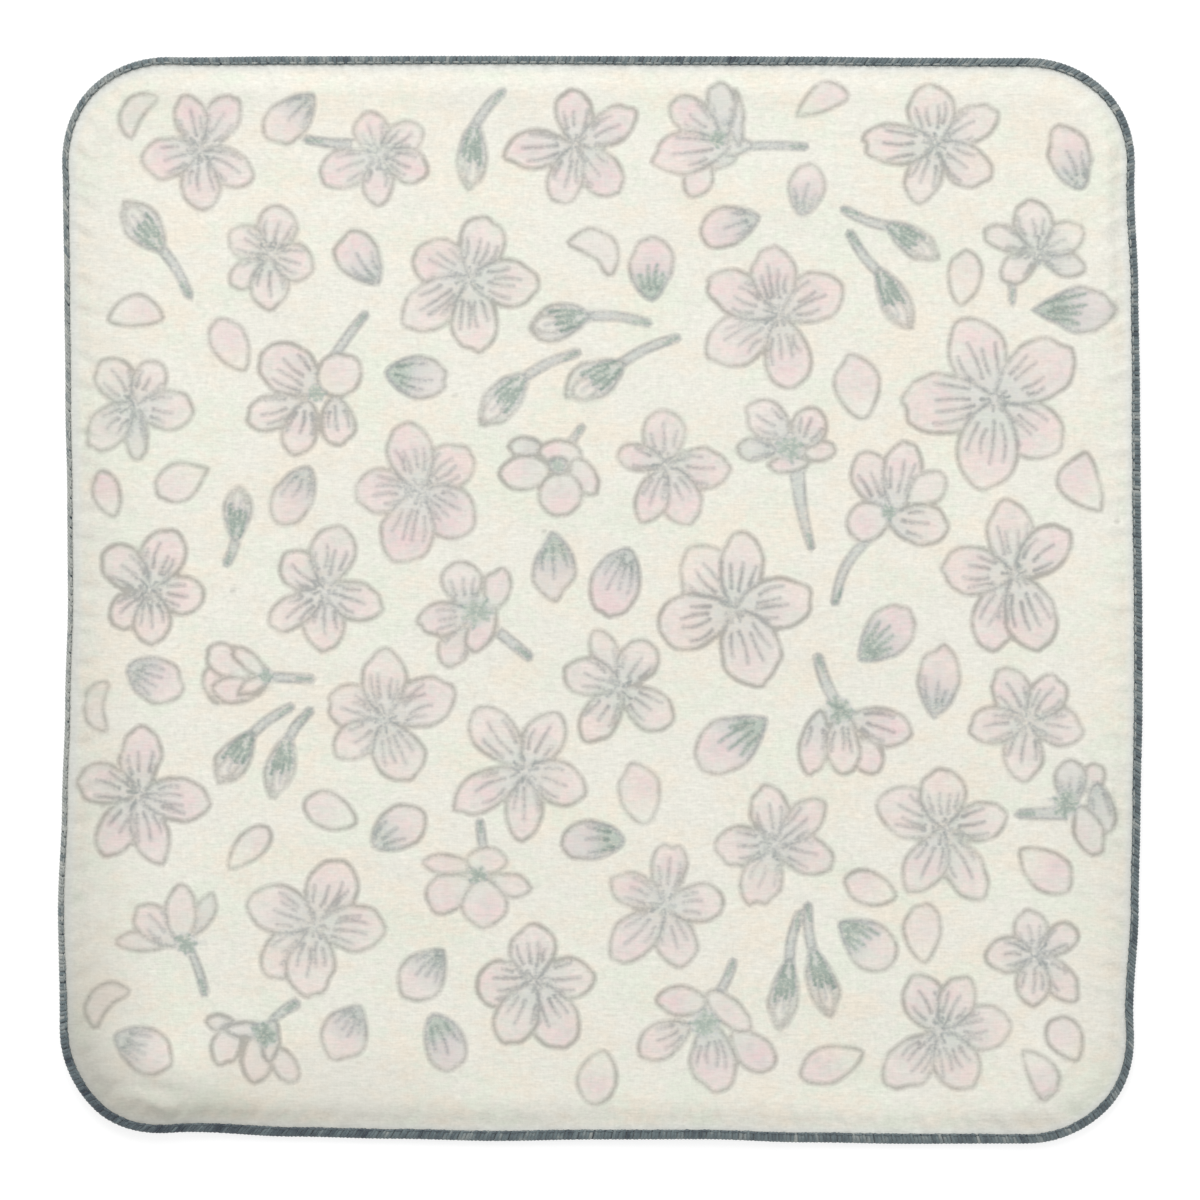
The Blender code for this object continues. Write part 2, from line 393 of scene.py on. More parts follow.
# seen from the side or behind: each petal by its middle, length, width, heading of the tip and
# letters, then the stem's two ends, its widths there and its bend, and the calyx's middle, size
# and darkness
sideBlossoms = (
    (((275, 411, 62, 34, 195, ""), (301, 428, 56, 34, -104, ""), (338, 420, 50, 34, -82, "s"),
      (292, 372, 68, 50, 143, "s"), (339, 374, 46, 42, 45, "wr")),
     (334, 357, 365, 315, 8, 7, 0.02), (317, 394, 14, 0.3)),
    (((734, 147, 36, 15, 186, "gwr"), (735, 118, 56, 18, 98, "gw"), (722, 113, 60, 27, 92, "gs"),
      (720, 161, 32, 13, 188, "gw"), (699, 179, 40, 27, -112, "w"), (695, 118, 60, 34, 142, ""),
      (690, 151, 78, 42, 186, "")),
     (742, 147, 805, 147, 7, 6, 0.02), (717, 139, 14, 0.6)),
    (((525, 447, 32, 19, 178, "gwr"), (560, 452, 42, 24, 170, "wr"), (585, 477, 40, 23, -58, "wr"),
      (524, 472, 50, 34, 180, "wr"), (561, 495, 43, 43, -95, "wr"), (558, 466, 20, 17, -20, "gw")),
     (572, 441, 582, 427, 6, 6, 0.0), (558, 466, 10, 0.1)),
    (((788, 464, 40, 16, 184, "wr"), (757, 449, 38, 23, 176, "g"), (820, 451, 31, 19, 12, "wr"),
      (768, 421, 48, 37, 148, ""), (809, 427, 40, 35, 68, "r")),
     (797, 471, 811, 547, 13, 6, -0.03), (790, 448, 26, 0.3)),
    (((874, 481, 62, 40, 112, ""), (902, 475, 72, 38, 78, ""), (926, 490, 46, 31, 35, "w"),
      (869, 521, 44, 38, 196, "sw"), (919, 523, 62, 40, -7, "")),
     (868, 539, 835, 602, 9, 7, -0.1), (889, 512, 12, 0.6)),
    (((497, 590, 46, 26, 75, "w"), (463, 585, 46, 40, 97, ""), (456, 646, 44, 29, -118, ""),
      (444, 619, 52, 33, 190, ""), (483, 630, 50, 25, -118, "w")),
     (499, 632, 528, 656, 9, 9, 0.0), (477, 612, 28, 0.35)),
    (((214, 684, 38, 22, 100, "w"), (228, 663, 50, 30, 152, "w"), (239, 690, 54, 26, 188, "w"),
      (252, 664, 52, 17, 139, "wp"), (255, 684, 38, 14, 206, "wp")),
     (271, 677, 311, 679, 8, 8, 0.0), (266, 676, 11, 0.4)),
    (((868, 755, 38, 29, -64, "w"), (814, 743, 66, 28, -101, ""), (842, 744, 64, 33, -89, ""),
      (880, 727, 64, 36, -18, "")),
     (836, 703, 818, 658, 10, 9, 0.04), (840, 710, 24, 0.7)),
    (((1090, 778, 32, 23, 55, "w"), (1100, 808, 50, 27, -82, "g"), (1070, 783, 46, 31, 92, "g"),
      (1088, 830, 52, 28, -68, "w")),
     (1066, 813, 1020, 814, 12, 8, 0.0), (1066, 804, 24, 0.8)),
    (((447, 865, 50, 20, 177, "wp"), (508, 885, 48, 23, -14, "wp"), (449, 891, 48, 37, 206, "sw"),
      (485, 902, 48, 45, -85, "w"), (487, 860, 40, 26, 4, "wr")),
     (483, 846, 480, 823, 7, 7, 0.0), (478, 875, 15, 0.6)),
    (((205, 914, 44, 19, 65, "gwp"), (143, 941, 52, 19, 171, "w"), (158, 925, 54, 34, 131, ""),
      (181, 912, 56, 30, 93, "wr")),
     (189, 946, 205, 993, 6, 7, 0.03), (186, 943, 18, 0.6)),
    (((284, 1065, 42, 23, -62, "w"), (222, 1023, 32, 16, 172, "gw"), (227, 1043, 46, 29, -112, "w"),
      (257, 1058, 50, 29, -95, "wr"), (248, 1029, 44, 15, 176, "gwr"), (270, 1041, 42, 17, -98, "gwr")),
     (272, 1020, 295, 1004, 6, 10, 0.03), (265, 1034, 22, 0.9)),
    (((752, 1050, 54, 34, -45, "w"), (664, 1038, 58, 35, 206, ""), (712, 1058, 68, 46, -90, ""),
      (681, 1001, 48, 29, 176, "wr"), (729, 1011, 56, 25, -42, "wr")),
     (718, 993, 733, 962, 8, 7, -0.05), (705, 1023, 26, 0.35)),
)

# x, y of the middle, length, width, heading of the tip, then the stem's far end
buds = (
    (143, 226, 60, 35, 129, (189, 295)),
    (472, 157, 68, 28, -94, (502, 93)),
    (559, 321, 61, 35, 190, (648, 323)),
    (503, 400, 66, 33, 228, (577, 353)),
    (595, 380, 66, 38, 212, (677, 338)),
    (913, 241, 61, 27, -33, (844, 210)),
    (893, 300, 68, 29, -64, (850, 234)),
    (238, 513, 55, 27, 86, (227, 563)),
    (235, 757, 60, 31, 235, (291, 707)),
    (281, 768, 63, 27, 258, (310, 711)),
    (784, 994, 71, 28, -100, (799, 914)),
    (823, 982, 71, 28, -72, (808, 906)),
)

# x, y of the middle, length, width, heading of its base, and letters: v veins, d dark veins,
# g green, m flat on its right side, p pointed tip, k keen base; and c for a curled one, which
# has the heading of its chord instead, with the hollow to the right
loosePetals = (
    (142, 117, 49, 23, 56, "c"), (292, 118, 62, 39, 47, "vs"), (360, 259, 61, 42, -54, "v"),
    (136, 321, 54, 31, 180, "m"), (232, 345, 57, 36, -62, ""), (417, 377, 62, 41, 172, "d"),
    (592, 256, 54, 29, -37, "c"), (651, 269, 62, 44, -88, "vg"), (730, 225, 59, 39, 15, "vs"),
    (806, 190, 52, 35, -100, "v"), (823, 108, 55, 27, 198, "m"), (1070, 158, 65, 40, -68, "v"),
    (965, 278, 55, 33, -100, ""), (1074, 310, 83, 45, 180, "dgpk"), (858, 386, 66, 44, -80, "p"),
    (1092, 481, 61, 41, -74, "m"), (182, 481, 58, 38, 25, "k"), (107, 494, 47, 27, -70, ""),
    (294, 496, 64, 39, 62, "v"), (555, 567, 67, 42, 93, "dp"), (615, 583, 73, 48, 68, "v"),
    (886, 636, 70, 45, 222, "vg"), (937, 682, 71, 41, -95, "vk"), (731, 741, 83, 51, 33, "vgk"),
    (155, 680, 58, 44, 155, "v"), (104, 706, 49, 22, 88, "c"), (640, 793, 62, 41, -78, "p"),
    (592, 840, 63, 38, 0, "d"), (331, 811, 55, 36, -25, ""), (398, 828, 60, 42, 215, "v"),
    (249, 847, 57, 27, 228, ""), (1045, 870, 64, 40, 140, ""), (870, 889, 53, 33, -15, ""),
    (866, 943, 66, 45, 143, "vgks"), (922, 932, 60, 37, -85, ""), (424, 973, 59, 45, 50, "v"),
    (346, 1031, 57, 46, 60, "v"), (445, 1042, 60, 40, 115, "d"), (597, 1077, 54, 39, 75, ""),
    (831, 1063, 67, 37, 20, "p"), (1066, 1038, 48, 35, -65, ""), (1032, 1076, 54, 29, 110, "mk"),
    (110, 1006, 50, 25, 47, "c"), (144, 1048, 61, 43, 155, "v"),
)

# stems that show beside an open blossom: two ends, widths there, bend
lonelyStems = ((351, 144, 308, 140, 8, 7, 0.03), (1013, 274, 1012, 301, 6, 6, 0.0))

specks = ((454, 396), (1116, 522), (232, 591), (543, 532))

pen = random.Random(board["seed"])
drawn = []  # every shape and line of the print, in the order it is laid down


def toward(degrees):
    return np.array((math.cos(math.radians(degrees)), math.sin(math.radians(degrees))))


def onCloth(x, y):
    middle = board["size"] / 2.0
    return np.array(((x - middle) * board["unit"], (middle - y) * board["unit"]))


def layShape(group, outline, blush, sage, line, half=None, **more):
    drawn.append(dict(group=group, points=outline, closed=True, blush=blush, sage=sage, line=line,
                      half=half or board["outlineHalf"], **more))


def layLine(group, points, start, end, half, sage=0.0):
    drawn.append(dict(group=group, points=np.array(points), closed=False, line=start, lineEnd=end,
                      half=half, sage=sage))


def byLetter(choices, letters):
    # the choice of the first letter that a row has, or the plain one
    for letter, choice in choices.items():
        if letter in letters:
            return choice


def petalSide(t, letters, belly=1.27, foot=0.55):
    # half the width of a petal, from its base at 0 to its tip at 1
    power = np.where(t > petal["widest"], byLetter(petal["tip"], letters), foot)
    return np.sin(math.pi * np.clip(t, 0.0, 1.0) ** belly) ** power


def petalOutline(base, angle, length, width, letters="", flat=0.0):
    ahead, aside = toward(angle), toward(angle + 90.0)
    steps = max(int((length + width) / petal["step"]), 14)
    s = np.linspace(0.0, 2.0, 2 * steps, endpoint=False)  # up one side to the tip at 1, and back
    near = 1.0 - np.abs(1.0 - s)
    t = (1.0 - np.cos(math.pi * near)) / 2.0
    foot = byLetter(petal["foot"], letters) * pen.uniform(0.88, 1.12)
    bellies = byLetter(petal["belly"], letters)
    firstSide = petalSide(t, letters, pen.uniform(*bellies), foot)
    secondSide = petalSide(t, letters, pen.uniform(*bellies), foot)
    offset = np.where(s < 1.0, firstSide, (flat - 1.0) * secondSide) * width / (2.0 - flat)
    reach = t * length
    if "n" in letters:
        notch = petal["notch"] * length
        reach = reach - notch * np.exp(-((offset / (0.16 * width)) ** 2)) * (t > 0.6)
    elif not flat and not set(letters) & set("psr"):  # a tip drawn with a dip or a bump
        dip = pen.uniform(*petal["dip"]) * length
        spot = pen.uniform(-0.22, 0.22) * width
        reach = reach - dip * np.exp(-(((offset - spot) / (0.15 * width)) ** 2)) * (t > 0.6)
    sway = pen.uniform(-petal["sway"], petal["sway"]) * length * t * t
    wave = sum(
        pen.uniform(-1.0, 1.0) * np.sin(math.pi * count * s + pen.uniform(0.0, 6.3))
        for count in petal["waves"]
    ) * petal["wobble"] * length * np.sin(math.pi * near / 2.0)
    offset = offset + sway + wave * 0.5
    reach = reach + wave * 0.6
    return base + reach[:, None] * ahead + offset[:, None] * aside


def curledOutline(middle, angle, length, width):
    # a petal seen edge on: a bowl over its chord, with a shallow hollow on the other side
    ahead, aside = toward(angle), toward(angle + 90.0)
    s = np.linspace(0.0, 2.0, 36, endpoint=False)
    x = np.cos(math.pi * s)
    arch = np.maximum(1.0 - x * x, 0.0)
    rise = np.where(s < 1.0, (1.0 - np.abs(x) ** 2.6) ** 0.5, 0.34 * arch**1.5 - 0.22 * arch**0.5)
    wave = sum(pen.uniform(-0.03, 0.03) * np.sin(math.pi * count * s + count) for count in (3, 5, 7))
    offset = (rise - 0.12 + wave) * width
    return middle + (x * length / 2.0)[:, None] * ahead + offset[:, None] * aside


def petalVeins(group, base, angle, length, width, strength, start=0.26, end=0.68, sage=0.3):
    ahead, aside = toward(angle), toward(angle + 90.0)
    count = min(max(int(round(width / petal["veinGap"])), 2), 4)
    for index in range(count):
        spread = (index - (count - 1) / 2.0) / max(count - 1, 1)
        spread += pen.uniform(-0.07, 0.07)
        first = start + pen.uniform(-0.05, 0.08)
        last = end - 0.18 * abs(spread) + pen.uniform(-0.1, 0.08)
        bow = pen.uniform(-0.03, 0.03) * length
        line = []
        for step in range(5):
            t = first + (last - first) * step / 4.0
            fan = spread * width * 0.66 * petalSide(np.array(t * 0.82), "")
            fan = float(fan) + bow * math.sin(math.pi * step / 4.0)
            line.append(base + ahead * length * t + aside * fan)
        layLine(group, line, strength, strength * 0.55, board["veinHalf"], sage)


def drawPetal(group, base, angle, length, width, letters, blush, line, heart=petal["heart"]):
    green = "g" in letters
    sage = 0.3 if green else pen.uniform(0.0, 0.06)
    outline = petalOutline(base, angle, length, width, letters)
    layShape(group, outline, blush * (0.25 if green else 1.0), sage, line, base=base,
             axis=base + toward(angle) * length, length=length,
             heart=petal["plainHeart"] if "w" in letters else heart)
    if "w" not in letters:
        petalVeins(group, base, angle, length, width, line * pen.uniform(0.8, 1.1))


def drawHeart(group, middle, radius, sage):
    # a soft wash where petals meet, which their outlines fade into
    turns = np.linspace(0.0, 2.0 * math.pi, 12, endpoint=False)
    ring = middle + radius * np.column_stack((np.cos(turns), np.sin(turns)))
    layShape(group, ring, 0.1, sage, 0.0, base=middle - (radius, 0.0), axis=middle,
             length=2.0 * radius, heart=0.0)


def drawBlossom(group, row):
    middle = onCloth(*row[:2])
    blush = pen.uniform(0.5, 0.95)
    line = pen.uniform(0.8, 1.0)
    petals = list(row[2:])
    pen.shuffle(petals)
    gap = blossom["gap"]
    for angle, length, width, *letters in petals:
        length, width = length * board["unit"], width * board["unit"]
        drawPetal(group, middle + toward(angle) * gap, angle, length - gap, width, "".join(letters),
                  blush * pen.uniform(0.75, 1.05), line * pen.uniform(0.85, 1.08))
    drawHeart(group, middle, blossom["heartSize"], blossom["heartWash"])
    for index in range(blossom["stamens"]):  # as short hatching round the middle
        angle = index * 360.0 / blossom["stamens"] + pen.uniform(-16.0, 16.0)
        first, last = pen.uniform(0.4, 1.5), pen.uniform(2.2, 3.7)
        layLine(group, [middle + toward(angle) * first, middle + toward(angle + 8.0) * last],
                line * pen.uniform(0.4, 1.0), line * pen.uniform(0.6, 1.15),
                board["veinHalf"] * board["stamenSlim"], pen.choice((0.2, 0.4, 0.6)))


def drawStem(group, first, last, width, farWidth, bend=0.05):
    # a narrow band with a round end, darker towards it
    reach = last - first
    length = np.hypot(*reach)
    ahead = reach / length
    aside = np.array((-ahead[1], ahead[0]))
    line = stalk["line"]
    t = np.linspace(0.0, 1.0, max(int(length / stalk["step"]), 4))
    spine = first + t[:, None] * reach + (np.sin(math.pi * t) * bend * length)[:, None] * aside
    half = ((width + (farWidth - width) * t) / 2.0)[:, None] * aside
    turns = (aside * 0.7 + ahead * 0.7, ahead, ahead * 0.7 - aside * 0.7)
    cap = [last + turn * farWidth * 0.5 for turn in turns]
    outline = np.vstack((spine + half, cap, (spine - half)[::-1]))
    layShape(group, outline, 0.0, stalk["sage"], line, board["stemHalf"], base=first, axis=last,
             length=length, heart=0.0)
    layLine(group, [last - ahead * min(stalk["end"], length * 0.4), last], line * 0.2, line * 0.8,
            board["veinHalf"], 1.0)


def drawLonelyStem(group, row):
    unit = board["unit"]
    drawStem(group, onCloth(*row[:2]), onCloth(*row[2:4]), row[4] * unit, row[5] * unit, row[6])


def drawSideBlossom(group, row):
    petals, stem, calyx = row
    drawLonelyStem(group, stem)
    line = pen.uniform(0.8, 1.0)
    for x, y, length, width, angle, letters in petals:
        length, width = length * board["unit"], width * board["unit"]
        base = onCloth(x, y) - toward(angle) * length / 2.0
        drawPetal(group, base, angle, length, width, letters, pen.uniform(0.45, 0.9), line,
                  blossom["sideHeart"])
    x, y, size, dark = calyx
    middle, radius = onCloth(x, y), size * board["unit"] / 2.0
    drawHeart(group, middle, radius, 0.7 + 0.3 * dark)
    for index in range(blossom["hatches"]):
        angle = index * blossom["hatchTurn"] + pen.uniform(-15.0, 15.0)
        first, last = pen.uniform(0.1, 0.5) * radius, radius * pen.uniform(0.8, 1.2)
        layLine(group, [middle + toward(angle) * first, middle + toward(angle + 10.0) * last],
                dark, dark * 0.6, board["veinHalf"], 1.0)


def drawBud(group, row):
    middle = onCloth(*row[:2])
    length, width, angle = row[2] * board["unit"], row[3] * board["unit"], row[4]
    ahead, aside = toward(angle), toward(angle + 90.0)
    base = middle - ahead * length / 2.0
    line = pen.uniform(0.7, 0.9)
    drawStem(group, base + ahead * 1.2, onCloth(*row[5]), stalk["budWidth"], stalk["budFarWidth"])
    outline = petalOutline(base, angle, length, width, "p")
    layShape(group, outline, pen.uniform(0.1, 0.25), 0.3, line, base=base, axis=middle,
             length=length, heart=0.35)
    side = pen.choice((-1.0, 1.0))
    inner = petalOutline(base + ahead * length * 0.38 + aside * side * width * 0.1,
                         angle - side * 6.0, length * 0.54, width * 0.5, "")
    layShape(group, inner, pen.uniform(0.2, 0.4), 0.12, line * 0.75, base=base, axis=middle,
             length=length, heart=0.2)
    drawHeart(group, base + ahead * length * 0.4, width * 0.27, 0.9)
    hatches = ((0.3, 0.1, 0.5), (0.08, 0.3, 0.56), (-0.12, 0.24, 0.52), (-0.3, 0.1, 0.62))
    for bow, first, last in hatches:  # how far aside, then where each begins and ends
        hatch = [
            base + ahead * length * t + aside * side * width * bow * float(petalSide(np.array(t), "p"))
            for t in np.linspace(first, last, 4)
        ]
        layLine(group, hatch, line * 0.75, line * 0.95, board["veinHalf"], 1.0)
    layLine(group, [base + ahead * length * 0.5, base + ahead * length * 0.74 + aside * side * 0.5],
            line * 0.5, line * 0.35, board["veinHalf"], 0.4)


def drawLoosePetal(group, row):
    x, y, length, width, angle, letters = row
    middle, length, width = onCloth(x, y), length * board["unit"], width * board["unit"]
    line = pen.uniform(0.72, 0.92)
    blush = pen.uniform(0.5, 0.95)
    if "c" in letters:
        layShape(group, curledOutline(middle, angle, length, width), blush * 0.5, 0.1, line,
                 base=middle - toward(angle) * length, axis=middle, length=length, heart=0.0)
        return
    angle += 180.0
    base = middle - toward(angle) * length / 2.0
    plain = not set(letters) & set("vd")
    dark = "d" in letters
    outline = petalOutline(base, angle, length, width, letters, 0.8 if "m" in letters else 0.0)
    layShape(group, outline, blush * (0.7 if dark else 1.0), 0.3 if dark else 0.05, line, base=base,
             axis=middle, length=length, heart=0.0 if plain else 0.95 if "g" in letters else 0.65)
    if not plain:
        sage = 0.9 if "g" in letters else 0.4
        petalVeins(group, base, angle, length, width, line * (1.1 if dark else 0.9),
                   0.2 if dark else 0.14, 0.68 if dark else 0.58, sage)


def drawPrint():
    rows = [(drawLoosePetal, row) for row in loosePetals]
    rows += [(drawLonelyStem, row) for row in lonelyStems]
    rows += [(drawBlossom, row) for row in blossoms]
    rows += [(drawSideBlossom, row) for row in sideBlossoms]
    rows += [(drawBud, row) for row in buds]
    for group, (draw, row) in enumerate(rows):
        draw(group, row)
    for index, (x, y) in enumerate(specks):
        spot = onCloth(x, y)
        layLine(len(rows) + index, [spot, spot + (0.5, 0.2)], 0.5, 0.5, board["veinHalf"])
    print("print:", len(rows), "motifs,", len(drawn), "shapes and lines")


def segmentsOf(shape):
    points = shape["points"]
    ends = np.roll(points, -1, axis=0) if shape["closed"] else points[1:]
    return points[:len(ends)], ends


def farFrom(shape, x, y):
    # the distance from a drawn line, and how far along it the nearest spot lies
    starts, ends = segmentsOf(shape)
    best = np.full(len(x), 1e9)
    share = np.zeros(len(x))
    count = len(starts)
    for index, (a, b) in enumerate(zip(starts, ends)):
        run = b - a
        t = np.clip(((x - a[0]) * run[0] + (y - a[1]) * run[1]) / max(run @ run, 1e-9), 0.0, 1.0)
        gap = np.hypot(x - a[0] - run[0] * t, y - a[1] - run[1] * t)
        share = np.where(gap < best, (index + t) / count, share)
        best = np.minimum(best, gap)
    return best, share


def within(shape, x, y):
    starts, ends = segmentsOf(shape)
    inside = np.zeros(len(x), bool)
    for a, b in zip(starts, ends):
        if a[1] == b[1]:
            continue
        crosses = (a[1] > y) != (b[1] > y)
        inside ^= crosses & (x < a[0] + (b[0] - a[0]) * (y - a[1]) / (b[1] - a[1]))
    return inside


def boxOf(shape, margin):
    return shape["points"].min(axis=0) - margin, shape["points"].max(axis=0) + margin


def inkCloth(x, y):
    # line, blush and sage at points of the cloth, painted shape by shape
    ink, blush, sage = np.zeros(len(x)), np.zeros(len(x)), np.zeros(len(x))
    order = np.argsort(x)
    sortedX = x[order]
    for shape in drawn:
        low, high = boxOf(shape, board["soak"])
        first, last = np.searchsorted(sortedX, (low[0], high[0]))
        near = order[first:last]
        near = near[(y[near] > low[1]) & (y[near] < high[1])]
        if not len(near):
            continue
        nx, ny = x[near], y[near]
        gap, share = farFrom(shape, nx, ny)
        half = shape["half"]
        if shape["closed"]:
            depth = np.where(within(shape, nx, ny), gap, -gap)
            cover = np.clip(0.5 + depth / (2.0 * half), 0.0, 1.0)
            base = shape["base"]
            ahead = shape["axis"] - base
            ahead = ahead / np.hypot(*ahead)
            t = ((nx - base[0]) * ahead[0] + (ny - base[1]) * ahead[1]) / shape["length"]
            fill = 0.65 + 0.4 * np.clip(depth / 2.2, 0.0, 1.0)
            pink = shape["blush"] * ease((t - 0.05) / 0.6) * fill
            wash = shape["sage"] + shape["heart"] * (1.0 - ease((t - 0.15) / 0.6))
            ink[near] *= 1.0 - cover
            blush[near] += (pink - blush[near]) * cover
            sage[near] += (np.clip(wash, 0.0, 1.0) - sage[near]) * cover
            ink[near] = np.maximum(ink[near], shape["line"] * np.clip(1.0 - gap / half, 0.0, 1.0))
        else:
            touch = np.clip(1.0 - gap / half, 0.0, 1.0)
            line = (shape["line"] + (shape["lineEnd"] - shape["line"]) * share) * touch
            ink[near] = np.maximum(ink[near], line)
            sage[near] = np.maximum(sage[near], shape["sage"] * np.clip(touch * 1.6, 0.0, 1.0))
    return ink, blush, sage


class PointPool:
    # points that keep their distance, found again by the cell they lie in
    def __init__(self):
        self.points = []
        self.cells = {}

    def cellOf(self, x, y):
        return math.floor(x / net["cell"]), math.floor(y / net["cell"])

    def put(self, x, y):
        self.points.append((x, y))
        self.cells.setdefault(self.cellOf(x, y), []).append(len(self.points) - 1)
        return len(self.points) - 1

    def add(self, x, y, apart):
        column, row = self.cellOf(x, y)
        for c in (column - 1, column, column + 1):
            for r in (row - 1, row, row + 1):
                for index in self.cells.get((c, r), ()):
                    px, py = self.points[index]
                    if (px - x) ** 2 + (py - y) ** 2 < apart * apart:
                        return index
        return self.put(x, y)


def railsOf(shape):
    # evenly spaced points on a drawn line, and on both sides at the foot of its slope
    points = shape["points"]
    if shape["closed"]:
        points = np.vstack((points, points[:1]))
    lengths = np.hypot(*np.diff(points, axis=0).T)
    run = np.concatenate(((0.0,), np.cumsum(lengths)))
    count = max(int(round(run[-1] / board["railStep"])), 2)
    marks = np.linspace(0.0, run[-1], count + 1)
    middle = np.column_stack([np.interp(marks, run, points[:, k]) for k in (0, 1)])
    ahead = np.gradient(middle, axis=0)
    if shape["closed"]:
        ahead[0] = ahead[-1] = middle[1] - middle[-2]
    ahead = ahead / np.maximum(np.hypot(*ahead.T), 1e-9)[:, None]
    aside = np.column_stack((-ahead[:, 1], ahead[:, 0]))
    half = shape["half"]
    rails = np.vstack((middle + aside * half, middle - aside * half))
    if not shape["closed"]:  # and round both of its ends
        caps = [middle[end] + way * half * (ahead[end] * forth + aside[end] * across)
                for end, way in ((0, -1.0), (-1, 1.0))
                for forth, across in ((1.0, 0.0), (0.7, 0.7), (0.7, -0.7))]
        rails = np.vstack((rails, caps))
    return middle, rails


def hiddenBy(shapes, points):
    hidden = np.zeros(len(points), bool)
    for other in shapes:
        low, high = boxOf(other, 0.0)
        if (points.max(axis=0) < low).any() or (points.min(axis=0) > high).any():
            continue
        x, y = points.T
        hidden |= within(other, x, y) & (farFrom(other, x, y)[0] > board["hideDepth"])
    return hidden


def rimPlaces():
    count = int(4 * cut["sideRun"] / net["rimStep"])
    return np.arange(count) * 4.0 / count


def layFoldRows(pool):
    # points in rows along each small fold
    for cx, cy, degrees, length, width, _ in gauze["folds"]:
        cosine, sine = math.cos(math.radians(degrees)), math.sin(math.radians(degrees))
        reach = net["foldEnds"] * length
        for run in np.arange(-reach, reach, net["foldStep"]):
            for off in net["foldRows"]:
                x = cx + run * cosine - off * width * sine
                y = cy + run * sine + off * width * cosine
                if max(abs(x), abs(y)) < net["foldLimit"]:
                    pool.add(x, y, net["foldApart"])


def layPrintLines(pool):
    # points along every line of the print that shows, and beside it; gives the lines' edges
    ridges = []
    sideRails = []
    for index, shape in enumerate(drawn):
        later = [other for other in drawn[index + 1:index + board["hiders"]]
                 if other["group"] == shape["group"] and other["closed"]]
        middle, rails = railsOf(shape)
        hidden = hiddenBy(later, middle) | (placeOf(*middle.T)[1] < board["margin"])
        previous = None
        for (x, y), gone in zip(middle, hidden):
            if gone:
                previous = None
                continue
            point = pool.add(x, y, net["ridgeApart"])
            if previous is not None and previous != point:
                ridges.append((previous, point))
            previous = point
        sideRails.extend(rails[~hiddenBy(later, rails) & (placeOf(*rails.T)[1] > board["margin"])])
    for x, y in sideRails:
        pool.add(x, y, net["railApart"])
    return ridges


def layOutFront():
    # the front's points: rim, rings, folds, rails along the print, then a loose grid between them
    pool = PointPool()
    for x, y in zip(*edgePoint(rimPlaces(), gauze["tongueInset"])):
        pool.put(x, y)
    rimCount = len(pool.points)
    for inset in net["rings"]:
        places = rimPlaces() + 0.5 * (4.0 / rimCount)
        for x, y in zip(*edgePoint(places, inset)):
            pool.add(x, y, net["ringApart"])
    layFoldRows(pool)
    ridges = layPrintLines(pool)
    shake = random.Random(net["gridSeed"])
    step, loose = net["gridStep"], net["gridShake"]
    reach = int(cut["halfWidth"] / step) + 1
    spots = np.array([
        (c * step + shake.uniform(-loose, loose) * step, r * step + shake.uniform(-loose, loose) * step)
        for c in range(-reach, reach + 1) for r in range(-reach, reach + 1)
    ])
    _, inset = placeOf(*spots.T)
    for x, y in spots[inset > net["gridInset"]]:
        pool.add(x, y, net["gridApart"])
    return pool.points, rimCount, ridges


def triangulate(points, rimCount, ridges):
    rim = [(i, (i + 1) % rimCount) for i in range(rimCount)]
    result = delaunay_2d_cdt([Vector(p) for p in points], rim + ridges, [list(range(rimCount))], 1, 1e-6)
    where = {}
    for new, old in enumerate(result[3]):
        for index in old:
            where[index] = new
    spots = np.array([tuple(v) for v in result[0]])
    faces = [list(face) for face in result[2]]
    return spots, faces, [where[i] for i in range(rimCount)]


def layOutBack():
    points = list(zip(*edgePoint(rimPlaces(), gauze["tongueInset"])))
    rimCount = len(points)
    for inset in net["backRings"]:
        points += list(zip(*edgePoint(rimPlaces()[::2], inset)))
    step = net["backStep"]
    reach = int(cut["halfWidth"] / step) + 1
    grid = np.array([(c * step, r * step + (c % 2) * step / 2.0)
                     for c in range(-reach, reach + 1) for r in range(-reach, reach + 1)])
    _, inset = placeOf(*grid.T)
    points += [tuple(p) for p in grid[inset > net["backInset"]]]
    return points, rimCount


def paintedEdgeShade(place, inset):
    # painted shade: the cloth's colour darkens towards its edges, most at the bottom left, in place of
    # the shade of the cloth sloping down there
    return along("grey", place) * (1.0 - ease(inset / cut["greyReach"])) ** cut["greyPower"]


def storeValues(mesh, name, values):
    attribute = mesh.attributes.new(name, "FLOAT", "POINT")
    attribute.data.foreach_set("value", np.asarray(values, np.float32))


def makeObject(name, vertices, faces):
    mesh = bpy.data.meshes.new(name)
    mesh.from_pydata(np.asarray(vertices).tolist(), [], faces)
    mesh.update()
    piece = bpy.data.objects.new(name, mesh)
    bpy.context.scene.collection.objects.link(piece)
    mesh.polygons.foreach_set("use_smooth", [True] * len(mesh.polygons))
    return piece


def layerOf(spots, side):
    # the front of the cloth where side is 1, the back where it is -1
    x, y = spots.T
    place, inset = placeOf(x, y)
    middle, thickness = clothLayers(x, y, place, inset)
    z = middle + side * thickness / 2.0
    if side > 0.0:
        loose = ease((inset - gauze["crinkleStart"]) / gauze["crinkleRise"])
        z = z + puckers(place, inset) + (crinkle(x, y) + foldRise(x, y)) * loose
    return np.column_stack((x, y, z))


